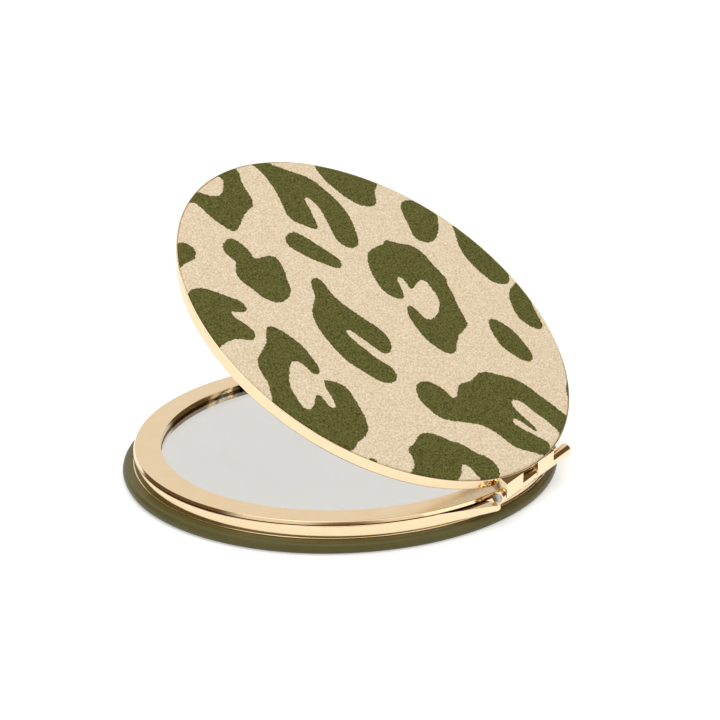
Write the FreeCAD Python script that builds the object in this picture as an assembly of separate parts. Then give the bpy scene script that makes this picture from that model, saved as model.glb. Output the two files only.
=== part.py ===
import FreeCAD, Part
import math
import os

# Round compact mirror: two gold-plated frames on one hinge pin, a mirror in each frame,
# a suede print on the lid and a padded leather cover under the base.
# Millimetres, +Z up, origin at the centre of the leather underside.
# The hinge runs along X at the back (+Y). The lid is drawn closed and then opened.

# Frames of both halves
frame_radius = 34.2
frame_wall = 0.8
base_floor = 0.6
lid_plate = 0.7
lid_flare = 0.85
lid_rim = 0.2
lid_rim_round = 0.1
ledge_width = 0.7
bead_reach = 0.12
bead_height = 0.2
edge_round = 0.15
parting_gap = 0.2

# Bezel rings
base_bezel_inset = 0.02
lid_bezel_inset = 0.7
bezel_width = 4.5
base_sheet = 0.5
lid_sheet = 0.3
base_bezel_roll = 0.7
lid_bezel_roll = 0.2
bezel_groove = 0.2
bezel_skirt = 0.85
skirt_wall = 0.5
lip_wall = 0.4
base_lip = 0.35
lid_lip = 0.2
fit_gap = 0.02

# Mirrors and their tape
mirror_overlap = 1.3
glass_thickness = 1.0
film_thickness = 0.1
base_tape = 0.3
lid_tape = 0.3
tape_margin = 1.5

# Closing magnets under the bezels
magnet_length = 6.0
magnet_gap = 0.15
magnet_headroom = 0.05

# Leather cover under the base
leather_thickness = 0.65
pad_thickness = 0.45
board_thickness = 0.55
margin_thickness = 0.25
margin_width = 7.0
leather_overhang = 1.2
leather_side = 1.3
soft_gap = 0.03

# Suede inlay on the lid
suede_thickness = 0.2
glue_thickness = 0.05
inlay_inset = 0.03
inlay_recess = 0.25
inlay_edge = 0.42
inlay_crown = 0.33
inlay_roll = 0.35

# Hinge
pin_radius = 0.7
pin_proud = 0.15
pin_chamfer = 0.12
pin_seat = 0.01
pin_running = 0.03
knuckle_wall = 0.35
hinge_reach = 1.1
hinge_rise = 0.45
hinge_left = 11.0
long_knuckle = 5.65
long_web = 1.6
lid_knuckle = 5.2
middle_knuckle = 4.4
short_knuckle = 0.8
knuckle_gap = 0.15
hinge_relief = 0.18
flank_length = 9.0
web_clear = 1.1
tab_drop = 0.05
tab_reach = 0.8
tab_round = 0.1
open_angle = 33.8

# Depths from a bezel face into its half
base_wall_start = base_sheet + bezel_groove
lid_wall_start = lid_sheet + bezel_groove
base_glass_depth = base_sheet + base_lip
lid_glass_depth = lid_sheet + lid_lip
mirror_stack = glass_thickness + film_thickness
base_inner_depth = base_glass_depth + mirror_stack + base_tape
lid_inner_depth = lid_glass_depth + mirror_stack + lid_tape

# Heights above the table
cover_height = leather_thickness + pad_thickness + board_thickness + margin_thickness
base_face = cover_height + base_floor + base_inner_depth
lid_face = base_face + parting_gap
base_wall_top = base_face - base_wall_start
lid_wall_bottom = lid_face + lid_wall_start
inlay_seat = lid_face + lid_inner_depth + lid_plate
lid_top = inlay_seat + inlay_recess

# Radii
wall_inside = frame_radius - frame_wall
ledge_radius = wall_inside - ledge_width
bezel_inside = frame_radius - base_bezel_inset - bezel_width
lid_radius = frame_radius + lid_flare
pocket_radius = lid_radius - lid_rim
mirror_radius = bezel_inside + mirror_overlap

# Hinge axis and the stretches of its knuckles along X
knuckle_radius = pin_radius + knuckle_wall
hinge_y = frame_radius + hinge_reach
hinge_z = (base_face + lid_face) / 2 + hinge_rise
long_start = -hinge_left
long_end = long_start + long_knuckle
left_tab_start = long_end + knuckle_gap
left_tab_end = left_tab_start + lid_knuckle
middle_start = left_tab_end + knuckle_gap
middle_end = middle_start + middle_knuckle
right_tab_start = middle_end + knuckle_gap
right_tab_end = right_tab_start + lid_knuckle
short_start = right_tab_end + knuckle_gap
short_end = short_start + short_knuckle

BASE = -1
LID = 1
UP = FreeCAD.Vector(0, 0, 1)
CENTRE = FreeCAD.Vector(0, 0, 0)
ALONG_HINGE = FreeCAD.Vector(1, 0, 0)


def rounded_face(corners, place):
    """Face of a polygon whose corners (a, b, radius) are rounded where the radius is not zero."""
    points = [FreeCAD.Vector(a, b, 0) for a, b, radius in corners]
    spans = []
    for index, corner in enumerate(corners):
        point = points[index]
        before = points[index - 1] - point
        after = points[(index + 1) % len(points)] - point
        turn = before.getAngle(after)
        before.normalize()
        after.normalize()
        cut = corner[2] / math.tan(turn / 2)
        middle = before + after
        if corner[2]:
            middle.normalize()
            middle = middle * (corner[2] / math.sin(turn / 2) - corner[2])
        spans.append((point + before * cut, point + middle, point + after * cut, corner[2]))
    edges = []
    for index, (start, middle, end, radius) in enumerate(spans):
        last_end = spans[index - 1][2]
        if last_end.distanceToPoint(start) > Part.Precision.confusion():
            edges.append(Part.LineSegment(place(last_end), place(start)).toShape())
        if radius:
            edges.append(Part.Arc(place(start), place(middle), place(end)).toShape())
    return Part.Face(Part.Wire(edges))


def turned(corners):
    """Solid of revolution about Z from profile corners (radius, height, corner radius)."""
    face = rounded_face(corners, lambda p: FreeCAD.Vector(p.x, 0, p.y))
    return face.revolve(CENTRE, UP, 360)


def bar(corners, start, end):
    """Straight bar along X, from start to end, of a profile with corners (y, z, corner radius)."""
    face = rounded_face(corners, lambda p: FreeCAD.Vector(start, p.x, p.y))
    return face.extrude(ALONG_HINGE * (end - start))


def disc(radius, low, high):
    """Flat round disc between two heights."""
    return Part.makeCylinder(radius, high - low, FreeCAD.Vector(0, 0, low), UP)


def hinge_rod(radius, start, end):
    """Round rod on the hinge axis, from start to end along X."""
    return Part.makeCylinder(radius, end - start, FreeCAD.Vector(start, hinge_y, hinge_z), ALONG_HINGE)


def height(half, depth):
    """Height of a depth behind the bezel face of one half."""
    return base_face - depth if half == BASE else lid_face + depth


def sheet(half):
    """Thickness of one half's bezel sheet."""
    return base_sheet if half == BASE else lid_sheet


def opened(shape):
    """The lid's piece at its resting angle, turned up about the hinge pin."""
    lifted = shape.copy()
    lifted.rotate(FreeCAD.Vector(0, hinge_y, hinge_z), ALONG_HINGE * -1, open_angle)
    return lifted


def wall_y(furthest):
    """Middle of the frame's wall at the end of a knuckle that lies furthest from the centre."""
    return math.sqrt(frame_radius ** 2 - furthest ** 2) - frame_wall / 2


def outside_wall(shape, low, high):
    """The part of a hinge web that stays out of the frame's hollow."""
    return shape.cut(disc(frame_radius - frame_wall / 2, low, high))


def knuckle(half, start, end):
    """Barrel of one half with a web whose flat outer face runs from the wall's far edge to the barrel."""
    foot = long_end - long_web if start == long_start else start
    outer_y, outer_z, outer_round = (frame_radius, cover_height + web_clear, 0)
    if half == LID:
        outer_y, outer_z, outer_round = (frame_radius + tab_reach, lid_top - tab_drop, tab_round)
    edge = height(half, sheet(half) + bezel_groove)
    across = hinge_y - outer_y
    rise = half * (outer_z - hinge_z)
    reach = math.hypot(across, rise)
    heading = math.atan2(rise, across) - math.asin(knuckle_radius / reach)
    length = math.sqrt(reach ** 2 - knuckle_radius ** 2)
    touch_y = outer_y + length * math.cos(heading)
    touch_z = outer_z - half * length * math.sin(heading)
    inner_y = wall_y(max(abs(foot), abs(end)))
    web = bar([(inner_y, outer_z, 0), (outer_y, outer_z, outer_round), (touch_y, touch_z, 0),
               (hinge_y, hinge_z, 0), (frame_radius, edge, 0), (inner_y, edge, 0)], foot, end)
    low, high = sorted((outer_z, edge))
    return outside_wall(web, low, high).fuse(hinge_rod(knuckle_radius, start, end))


def flank(start, end):
    """Straight flank that carries the base's round wall out to the short knuckle."""
    foot = cover_height + web_clear
    tip = end + flank_length
    corners = [(start, wall_y(start)), (start, hinge_y), (end, hinge_y), (tip, wall_y(tip))]
    points = [FreeCAD.Vector(x, y, foot) for x, y in corners]
    block = Part.Face(Part.makePolygon(points + points[:1])).extrude(UP * (base_wall_top - foot))
    return outside_wall(block, foot, base_wall_top)


def stretches(half):
    """Stretches along X that hold the knuckles of one half."""
    if half == BASE:
        return [(long_start, long_end), (middle_start, middle_end), (short_start, short_end)]
    return [(left_tab_start, left_tab_end), (right_tab_start, right_tab_end)]


def hinge_room(shape, half):
    """Clear one half's piece of the barrels of the other half."""
    for start, end in stretches(-half):
        shape = shape.cut(hinge_rod(knuckle_radius + hinge_relief, start - knuckle_gap, end + knuckle_gap))
    return shape


def frame_body(half, inner_depth, plate, outer_corners):
    """Turned dish of one half, with its knuckles, its bores and room for the other half's knuckles."""
    closed = height(half, inner_depth + plate)
    inside = height(half, inner_depth)
    ledge = height(half, sheet(half) + bezel_skirt)
    edge = height(half, sheet(half) + bezel_groove)
    dish = turned([(0, inside, 0), (0, closed, 0)] + outer_corners +
                  [(frame_radius, edge, edge_round), (wall_inside, edge, 0), (wall_inside, ledge, 0),
                   (ledge_radius, ledge, 0), (ledge_radius, inside, 0)])
    dish = hinge_room(dish, half)
    for start, end in stretches(half):
        dish = dish.fuse(knuckle(half, start, end))
    if half == BASE:
        dish = dish.fuse(flank(short_start, short_end))
    else:
        dish = dish.cut(disc(pocket_radius, inlay_seat, lid_top))
    bore = pin_radius + (pin_seat if half == BASE else pin_running)
    return dish.cut(hinge_rod(bore, long_start, short_end)).removeSplitter()


def base_frame():
    """Base dish with a bead round the foot of its wall."""
    bead_radius = frame_radius + bead_reach
    bead_top = cover_height + bead_height
    return frame_body(BASE, base_inner_depth, base_floor,
                      [(bead_radius, cover_height, 0), (bead_radius, bead_top, 0),
                       (frame_radius, bead_top, 0)])


def lid_frame():
    """Lid tray whose wall flares out to the rim of a shallow pocket on top for the inlay."""
    return opened(frame_body(LID, lid_inner_depth, lid_plate,
                             [(pocket_radius, inlay_seat, 0), (pocket_radius, lid_top, 0),
                              (lid_radius, lid_top, lid_rim_round)]))


def bezel_ring(half, lip, roll):
    """Sheet ring with a skirt pressed into the wall and a lip turned in over the glass."""
    bezel_outside = frame_radius - (base_bezel_inset if half == BASE else lid_bezel_inset)
    skirt_outside = wall_inside - fit_gap
    skirt_inside = skirt_outside - skirt_wall
    lip_outside = bezel_inside + lip_wall
    face = height(half, 0)
    under = height(half, sheet(half))
    skirt_end = height(half, sheet(half) + bezel_skirt)
    lip_end = height(half, sheet(half) + lip)
    ring = turned([(bezel_inside, face, roll), (bezel_outside, face, edge_round),
                   (bezel_outside, under, 0), (skirt_outside, under, 0), (skirt_outside, skirt_end, 0),
                   (skirt_inside, skirt_end, 0), (skirt_inside, under, 0), (lip_outside, under, 0),
                   (lip_outside, lip_end, 0), (bezel_inside, lip_end, 0)])
    own_room = hinge_rod(knuckle_radius + hinge_relief, long_start, short_end)
    return hinge_room(ring, half).cut(own_room)


def half_disc(half, radius, near, far):
    """Disc in one half between two depths behind its bezel face."""
    low, high = sorted((height(half, near), height(half, far)))
    return disc(radius, low, high)


def mirror_pieces(half, glass_depth, tape):
    """Glass, silver film and tape of one mirror, stacked behind the bezel lip."""
    film_depth = glass_depth + glass_thickness
    tape_depth = film_depth + film_thickness
    return {
        "mirror_glass": half_disc(half, mirror_radius, glass_depth, film_depth),
        "mirror_silver_film": half_disc(half, mirror_radius, film_depth, tape_depth),
        "mirror_tape": half_disc(half, mirror_radius - tape_margin, tape_depth, tape_depth + tape),
    }


def closure_magnet(half, inner_depth):
    """Bar magnet at the front, between the glass edge and the ledge."""
    near = mirror_radius + magnet_gap
    far = math.sqrt(ledge_radius ** 2 - (magnet_length / 2) ** 2) - magnet_gap
    low, high = sorted((height(half, sheet(half) + magnet_headroom), height(half, inner_depth)))
    corner = FreeCAD.Vector(-magnet_length / 2, -far, low)
    return Part.makeBox(magnet_length, far - near, high - low, corner)


def leather_cover():
    """Leather cup with a full round side and its skived margin turned in over the board."""
    outside = frame_radius + leather_overhang
    inside = outside - leather_side
    side_round = cover_height / 2
    board_top = cover_height - margin_thickness
    margin_inside = inside - margin_width
    return turned([(0, leather_thickness, 0), (0, 0, 0), (outside, 0, side_round),
                   (outside, cover_height, side_round), (margin_inside, cover_height, 0),
                   (margin_inside, board_top, 0), (inside, board_top, 0), (inside, leather_thickness, 0)])


def cover_core():
    """Pad, board and tape that the leather is wrapped round."""
    radius = frame_radius + leather_overhang - leather_side - soft_gap
    pad_top = leather_thickness + pad_thickness
    board_top = pad_top + board_thickness
    tape_radius = radius - margin_width
    return {
        "cover_pad": disc(radius, leather_thickness, pad_top),
        "cover_board": disc(radius, pad_top, board_top),
        "cover_tape": disc(tape_radius, board_top, cover_height),
    }


def crowned_face(radius, low, edge, crown, roll):
    """Lens profile: flat underside, upright edge with a rolled shoulder and a shallow dome on top."""
    span = radius - roll
    ball = (span ** 2 + crown ** 2) / (2 * crown)
    half_turn = math.asin(span / ball) / 2
    top = FreeCAD.Vector(0, 0, low + edge + crown)
    half_way = top + FreeCAD.Vector(ball * math.sin(half_turn), 0, ball * (math.cos(half_turn) - 1))
    shoulder = FreeCAD.Vector(span, 0, low + edge)
    diagonal = roll * (1 - math.sqrt(0.5))
    roll_middle = FreeCAD.Vector(radius - diagonal, 0, low + edge - diagonal)
    roll_start = FreeCAD.Vector(radius, 0, low + edge - roll)
    foot = FreeCAD.Vector(radius, 0, low)
    middle = FreeCAD.Vector(0, 0, low)
    edges = [Part.LineSegment(middle, foot).toShape(), Part.LineSegment(foot, roll_start).toShape(),
             Part.Arc(roll_start, roll_middle, shoulder).toShape(),
             Part.Arc(shoulder, half_way, top).toShape(), Part.LineSegment(top, middle).toShape()]
    return Part.Face(Part.Wire(edges))


def inlay_pieces():
    """Suede with its edge rolled down into the pocket, the foam that crowns it and the glue below."""
    radius = pocket_radius - inlay_inset
    core_radius = radius - suede_thickness
    core_edge = inlay_edge - suede_thickness
    core_roll = core_edge / 2
    suede = crowned_face(radius, inlay_seat, inlay_edge, inlay_crown, inlay_roll).revolve(CENTRE, UP, 360)
    core = crowned_face(core_radius, inlay_seat, core_edge, inlay_crown, core_roll).revolve(CENTRE, UP, 360)
    foam_face = crowned_face(core_radius - soft_gap, inlay_seat, core_edge - soft_gap, inlay_crown,
                             core_roll)
    foam = foam_face.revolve(CENTRE, UP, 360)
    glue_top = inlay_seat + glue_thickness
    glue = disc(core_radius - soft_gap, inlay_seat, glue_top)
    return {
        "print_inlay": suede.cut(core),
        "inlay_foam": foam.cut(disc(core_radius, inlay_seat, glue_top)),
        "inlay_glue": glue,
    }


def hinge_pin():
    """Steel pin through all knuckles, a little proud at both ends and chamfered there."""
    rod = hinge_rod(pin_radius, long_start - pin_proud, short_end + pin_proud)
    rims = [edge for edge in rod.Edges if edge.Closed]
    return rod.makeChamfer(min(pin_chamfer, pin_radius / 2), rims)


def compact_pieces():
    """Every piece of the compact by its node name."""
    pieces = {
        "base_frame": base_frame(),
        "base_bezel_ring": bezel_ring(BASE, base_lip, base_bezel_roll),
        "base_closure_magnet": closure_magnet(BASE, base_inner_depth),
        "base_leather_cover": leather_cover(),
        "lid_frame": lid_frame(),
        "lid_bezel_ring": opened(bezel_ring(LID, lid_lip, lid_bezel_roll)),
        "lid_closure_magnet": opened(closure_magnet(LID, lid_inner_depth)),
        "hinge_pin": hinge_pin(),
    }
    for name, shape in mirror_pieces(BASE, base_glass_depth, base_tape).items():
        pieces["base_" + name] = shape
    for name, shape in mirror_pieces(LID, lid_glass_depth, lid_tape).items():
        pieces["lid_" + name] = opened(shape)
    for name, shape in cover_core().items():
        pieces["base_" + name] = shape
    for name, shape in inlay_pieces().items():
        pieces["lid_" + name] = opened(shape)
    return pieces


def main():
    """Write one STEP file per piece and print the sizes that the record and scene need."""
    os.makedirs("parts", exist_ok=True)
    for name, shape in compact_pieces().items():
        shape.exportStep(os.path.join("parts", name + ".step"))
        print(name, len(shape.Solids), shape.isValid(), round(shape.Volume, 3))
    print("hinge axis", hinge_y, hinge_z, "from", long_start, "to", short_end)
    print("levels", cover_height, base_wall_top, base_face, lid_face, lid_wall_bottom, lid_top)


main()
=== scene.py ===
"""Looks of a round compact mirror: gold-plated frames, leopard-print suede lid, olive leather base."""

import logging
import math
from collections.abc import Callable, Sequence
from dataclasses import dataclass
from enum import Enum
from typing import Any

import bmesh
import bpy
import numpy as np
from mathutils import Matrix, Vector


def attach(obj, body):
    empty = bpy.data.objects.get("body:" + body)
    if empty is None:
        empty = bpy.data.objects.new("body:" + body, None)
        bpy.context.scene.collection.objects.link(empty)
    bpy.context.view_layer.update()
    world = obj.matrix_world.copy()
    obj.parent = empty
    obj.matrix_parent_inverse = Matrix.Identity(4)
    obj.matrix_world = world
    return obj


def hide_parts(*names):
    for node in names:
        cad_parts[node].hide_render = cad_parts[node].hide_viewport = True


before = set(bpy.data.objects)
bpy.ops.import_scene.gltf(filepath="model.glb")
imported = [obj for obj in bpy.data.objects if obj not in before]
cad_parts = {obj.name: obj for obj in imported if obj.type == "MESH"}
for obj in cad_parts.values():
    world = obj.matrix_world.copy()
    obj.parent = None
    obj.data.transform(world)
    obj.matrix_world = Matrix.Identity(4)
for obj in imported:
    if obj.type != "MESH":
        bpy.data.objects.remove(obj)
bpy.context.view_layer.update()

logging.basicConfig(level=logging.INFO, format="%(name)s: %(message)s")
LOG = logging.getLogger("compact_mirror")

# Metres in a millimetre; sizes are in mm where their text says nothing else.
MM = 0.001
# Points less than this many metres apart count as one.
MERGE = 1e-6
# Square of a length that counts as none, in square mm.
NO_LENGTH = 1e-12
# Facets round a whole ring and round a hinge barrel.
RING_STEPS = 384
SMALL_STEPS = 64

Piece = bpy.types.Object
Tree = bpy.types.NodeTree
Socket = bpy.types.NodeSocket
Corner = tuple[float, float, float]
Point = tuple[float, float]


class Body(Enum):
    """Rigid bodies that the pieces ride on."""

    BASE = "base"
    LID = "lid"


class Join(Enum):
    """Ways that other solids are worked into a piece."""

    CUT = "DIFFERENCE"
    CAST = "UNION"


@dataclass(frozen=True)
class HingeSizes:
    """Sizes of the hinge in mm, on the closed compact; its five knuckles lie from left to right along X."""

    axis_y: float = 35.3
    axis_z: float = 5.3
    open_angle: float = 33.8
    left: float = -11.0
    lengths: tuple[float, ...] = (5.65, 5.2, 4.4, 5.2, 0.8)
    # Length of the long first barrel that its web carries
    long_web: float = 1.6
    # The rooms cut round barrels stop short of the gap's end, so that no two end faces lie in one plane.
    gap: float = 0.15
    gap_short: float = 0.03
    relief: float = 0.18
    barrel_radius: float = 1.05
    barrel_round: float = 0.1
    pin_radius: float = 0.7
    pin_proud: float = 0.15
    pin_chamfer: float = 0.12
    pin_seat: float = 0.01
    pin_running: float = 0.03
    flank_length: float = 9.0
    flank_foot: float = 2.15
    flank_rise: float = 1.0
    web_foot: float = 3.0
    # Where the underside of a web meets its barrel, in Y and Z
    web_touch: Point = (35.977, 4.497)
    tab_top: float = 7.75
    tab_top_y: float = 35.0
    tab_round: float = 0.1
    tab_inset: float = 0.02
    # Where the back of a tab meets its barrel, in Y and Z
    tab_touch: Point = (36.189, 5.859)

    @property
    def centre(self) -> Vector:
        """Middle of the hinge axis, in metres."""
        return Vector((0, self.axis_y, self.axis_z)) * MM

    @property
    def spans(self) -> list[Point]:
        """Start and end of each knuckle along X."""
        starts = [self.left + sum(self.lengths[:i]) + i * self.gap for i in range(len(self.lengths))]
        return [(start, start + length) for start, length in zip(starts, self.lengths)]

    @property
    def base_spans(self) -> list[Point]:
        """Stretches that the base's knuckles fill."""
        return self.spans[0::2]

    @property
    def lid_spans(self) -> list[Point]:
        """Stretches that the lid's knuckles fill."""
        return self.spans[1::2]

    @property
    def whole(self) -> Point:
        """Start and end of the whole row of knuckles."""
        return self.spans[0][0], self.spans[-1][1]

    def room(self, spans: Sequence[Point]) -> list[Piece]:
        """Rods that clear the barrels of the other half.

        Args:
            spans: Stretches that the other half's barrels fill.

        Returns:
            One rod for each stretch, a gap longer at both ends but just short of the next barrel's end face.
        """
        reach = self.barrel_radius + self.relief
        gap = self.gap - self.gap_short
        return [rod("room", reach, (start - gap, end + gap)) for start, end in spans]

    def bore(self, play: float) -> Piece:
        """Rod that bores every knuckle for the pin.

        Args:
            play: Room round the pin in mm.

        Returns:
            The rod.
        """
        left, right = self.whole
        return rod("bore", self.pin_radius + play, (left - self.gap, right + self.gap))


HINGE = HingeSizes()


class Axis(Enum):
    """Lines that a profile is turned about."""

    UPRIGHT = (Vector((0, 0, 0)), Vector((1, 0, 0)), Vector((0, 0, 1)))
    PIN = (HINGE.centre, Vector((0, 0, 1)), Vector((1, 0, 0)))

    def place(self, out: float, along: float) -> Vector:
        """Point at a distance out from the axis and along it.

        Args:
            out: Distance from the axis in mm.
            along: Distance along the axis in mm.

        Returns:
            The point in metres.
        """
        centre, radial, direction = self.value
        return centre + (radial * out + direction * along) * MM


# Modelling by hand


def clear_selection() -> None:
    """Leave edit mode and deselect every object."""
    if bpy.context.object and bpy.context.object.mode != "OBJECT":
        bpy.ops.object.mode_set(mode="OBJECT")
    bpy.ops.object.select_all(action="DESELECT")


def take_up(piece: Piece) -> None:
    """Make one piece the active and only selected object.

    Args:
        piece: Piece to work on next.
    """
    clear_selection()
    bpy.context.view_layer.objects.active = piece
    piece.select_set(True)


def pick(test: Callable[[Vector], bool]) -> None:
    """Select only those vertices of the edited mesh whose place passes a test.

    Args:
        test: Called with each vertex's place in metres.
    """
    bpy.ops.mesh.select_mode(type="VERT")
    bpy.ops.mesh.select_all(action="DESELECT")
    mesh = bpy.context.object.data
    shell = bmesh.from_edit_mesh(mesh)
    for vertex in shell.verts:
        vertex.select_set(test(vertex.co))
    shell.select_flush_mode()
    bmesh.update_edit_mesh(mesh)


def move(piece: Piece, test: Callable[[Vector], bool], way: Vector, **fading: Any) -> None:
    """Move those points of a piece whose place passes a test.

    Args:
        piece: Piece to reshape.
        test: Called with each vertex's place in metres.
        way: The move in mm.
        fading: Settings for a move that fades out round the points.
    """
    take_up(piece)
    bpy.ops.object.mode_set(mode="EDIT")
    pick(test)
    bpy.ops.transform.translate(value=way * MM, **fading)
    bpy.ops.object.mode_set(mode="OBJECT")


def drawn_face(name: str, corners: Sequence[Vector], rounds: Sequence[float], segments: int) -> Piece:
    """Draw a flat closed outline point by point, fill it and round its corners; stays in edit mode.

    Args:
        name: Name of the new object.
        corners: Corners in order, in metres.
        rounds: Corner radius of each corner in mm, zero for a sharp one.
        segments: Facets of each rounded corner.

    Returns:
        The new object, in edit mode.
    """
    clear_selection()
    bpy.ops.mesh.primitive_plane_add(size=MM)
    piece = bpy.context.object
    piece.name = name
    bpy.ops.object.mode_set(mode="EDIT")
    bpy.ops.mesh.merge(type="CENTER")
    bpy.ops.transform.translate(value=corners[0])
    for before, after in zip(corners, corners[1:]):
        bpy.ops.mesh.extrude_vertices_move(TRANSFORM_OT_translate={"value": after - before})
    bpy.ops.mesh.select_all(action="SELECT")
    bpy.ops.mesh.edge_face_add()
    for radius in sorted(set(rounds) - {0.0}):
        places = [corner for corner, own in zip(corners, rounds) if own == radius]
        pick(lambda place: any((place - corner).length < MERGE for corner in places))
        bpy.ops.mesh.bevel(affect="VERTICES", offset=radius * MM, segments=segments, clamp_overlap=False)
    bpy.ops.mesh.select_all(action="SELECT")
    return piece


def close_shell() -> None:
    """Turn all faces of the edited shell outwards and leave edit mode."""
    bpy.ops.mesh.select_all(action="SELECT")
    bpy.ops.mesh.normals_make_consistent(inside=False)
    bpy.ops.object.mode_set(mode="OBJECT")


def turned(name: str, corners: Sequence[Corner], axis: Axis = Axis.UPRIGHT,
           steps: int = RING_STEPS, segments: int = 4) -> Piece:
    """Spin a closed profile all the way round an axis into a closed shell.

    Args:
        name: Name of the new object.
        corners: Profile corners as (distance out, distance along, corner radius) in mm.
        axis: Axis to spin about.
        steps: Facets round the axis.
        segments: Facets of each rounded corner.

    Returns:
        The new object, in object mode.
    """
    outline = [axis.place(out, along) for out, along, _ in corners]
    piece = drawn_face(name, outline, [own for _, _, own in corners], segments)
    centre, _, direction = axis.value
    bpy.ops.mesh.delete(type="ONLY_FACE")
    bpy.ops.mesh.select_all(action="SELECT")
    bpy.ops.mesh.spin(steps=steps, angle=math.tau, center=centre, axis=direction)
    bpy.ops.mesh.select_all(action="SELECT")
    bpy.ops.mesh.remove_doubles(threshold=MERGE)
    bpy.ops.mesh.delete_loose()
    close_shell()
    return piece


def rod(name: str, radius: float, span: Point, edge: float = 0, axis: Axis = Axis.PIN,
        steps: int = SMALL_STEPS, segments: int = 4) -> Piece:
    """Turn a plain rod, or a disc if it is short.

    Args:
        name: Name of the new object.
        radius: Radius in mm.
        span: Start and end along the axis in mm.
        edge: Radius of its rounded edges in mm, zero for sharp ones.
        axis: Axis that it lies on.
        steps: Facets round it.
        segments: Facets of each rounded edge.

    Returns:
        The new object, in object mode.
    """
    start, end = span
    return turned(name, [(0, start, 0), (radius, start, edge), (radius, end, edge), (0, end, 0)],
                  axis, steps, segments)


def prism(name: str, outline: Sequence[Vector], way: Vector, rounds: Sequence[float] = (),
          segments: int = 6) -> Piece:
    """Extrude a flat outline into a solid.

    Args:
        name: Name of the new object.
        outline: Corners in order, in mm.
        way: Direction and length of the extrusion in mm.
        rounds: Corner radius of each corner in mm, if any is round.
        segments: Facets of each rounded corner.

    Returns:
        The new object, in object mode.
    """
    piece = drawn_face(name, [corner * MM for corner in outline], rounds, segments)
    bpy.ops.mesh.extrude_region_move(TRANSFORM_OT_translate={"value": way * MM})
    close_shell()
    return piece


def combine(piece: Piece, others: Sequence[Piece], join: Join) -> None:
    """Cut other solids away from a piece, or cast them onto it, and delete them.

    Args:
        piece: Piece that stays.
        others: Closed solids, worked in one after another.
        join: What is done with them.
    """
    for other in others:
        take_up(piece)
        step = piece.modifiers.new("join", "BOOLEAN")
        step.operation = join.value
        step.solver = "EXACT"
        step.object = other
        bpy.ops.object.modifier_apply(modifier=step.name)
        bpy.data.objects.remove(other)


def smooth(piece: Piece, angle: float) -> None:
    """Shade a piece smooth below an angle, with flat faces kept flat up to their edges.

    Args:
        piece: Piece to shade.
        angle: Edges sharper than this many degrees stay sharp.
    """
    take_up(piece)
    bpy.ops.object.shade_smooth_by_angle(angle=math.radians(angle))
    flat = piece.modifiers.new("flat", "WEIGHTED_NORMAL")
    flat.keep_sharp = True
    bpy.ops.object.modifier_apply(modifier=flat.name)


def open_up(piece: Piece) -> None:
    """Turn a piece of the closed lid up to its resting angle about the hinge pin.

    Args:
        piece: Piece modelled on the closed lid.
    """
    take_up(piece)
    bpy.ops.object.mode_set(mode="EDIT")
    bpy.ops.mesh.select_all(action="SELECT")
    bpy.ops.transform.rotate(value=math.radians(HINGE.open_angle), orient_axis="X",
                             orient_type="GLOBAL", center_override=HINGE.centre)
    bpy.ops.object.mode_set(mode="OBJECT")


# Finishes


def linear(code: str) -> tuple[float, float, float, float]:
    """Linear colour of an sRGB hex code such as #A0B0C0.

    Args:
        code: Hex colour.

    Returns:
        Red, green, blue and alpha.
    """
    shares = [int(code[i:i + 2], 16) / 255 for i in (1, 3, 5)]
    red, green, blue = (s / 12.92 if s <= 0.04045 else ((s + 0.055) / 1.055) ** 2.4 for s in shares)
    return red, green, blue, 1.0


def per_mm(size: float) -> float:
    """Texture scale, in repeats per metre, of a pattern whose grain is so many mm."""
    return 1 / (size * MM)


def fresh_tree(owner: bpy.types.Material | bpy.types.World) -> Tree:
    """Empty node tree of a new material or world.

    Args:
        owner: The material or world.

    Returns:
        Its tree.
    """
    owner.use_nodes = True
    owner.node_tree.nodes.clear()
    return owner.node_tree


def add(tree: Tree, kind: str, inputs: dict[str | int, Any] | None = None, **settings: Any) -> bpy.types.Node:
    """Add a node with its settings and with its inputs set or linked.

    Args:
        tree: Node tree to add to.
        kind: Node type.
        inputs: Value, or socket to link, for each input by name or number.
        settings: Properties of the node.

    Returns:
        The new node.
    """
    node = tree.nodes.new(kind)
    for key, value in settings.items():
        setattr(node, key, value)
    for key, value in (inputs or {}).items():
        if isinstance(value, Socket):
            tree.links.new(value, node.inputs[key])
        else:
            node.inputs[key].default_value = value
    return node


@dataclass(frozen=True)
class Finish:
    """A material of the compact; each kind adds its own surface nodes. Sizes and heights are in mm."""

    name: str

    def make(self) -> bpy.types.Material:
        """Make the Blender material, once.

        Returns:
            The material, with its surface built by the finish.
        """
        found = bpy.data.materials.get(self.name)
        if found:
            return found
        material = bpy.data.materials.new(self.name)
        tree = fresh_tree(material)
        place = add(tree, "ShaderNodeTexCoord").outputs["Object"]
        add(tree, "ShaderNodeOutputMaterial", {"Surface": self.surface(tree, place)})
        return material

    def put_on(self, piece: Piece) -> None:
        """Give a piece this finish and no other."""
        piece.data.materials.clear()
        piece.data.materials.append(self.make())

    def surface(self, tree: Tree, place: Socket) -> Socket:
        """Build the surface shader.

        Args:
            tree: Node tree of the material.
            place: Object coordinates in metres.

        Returns:
            The shader's output socket.
        """
        raise NotImplementedError


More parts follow.
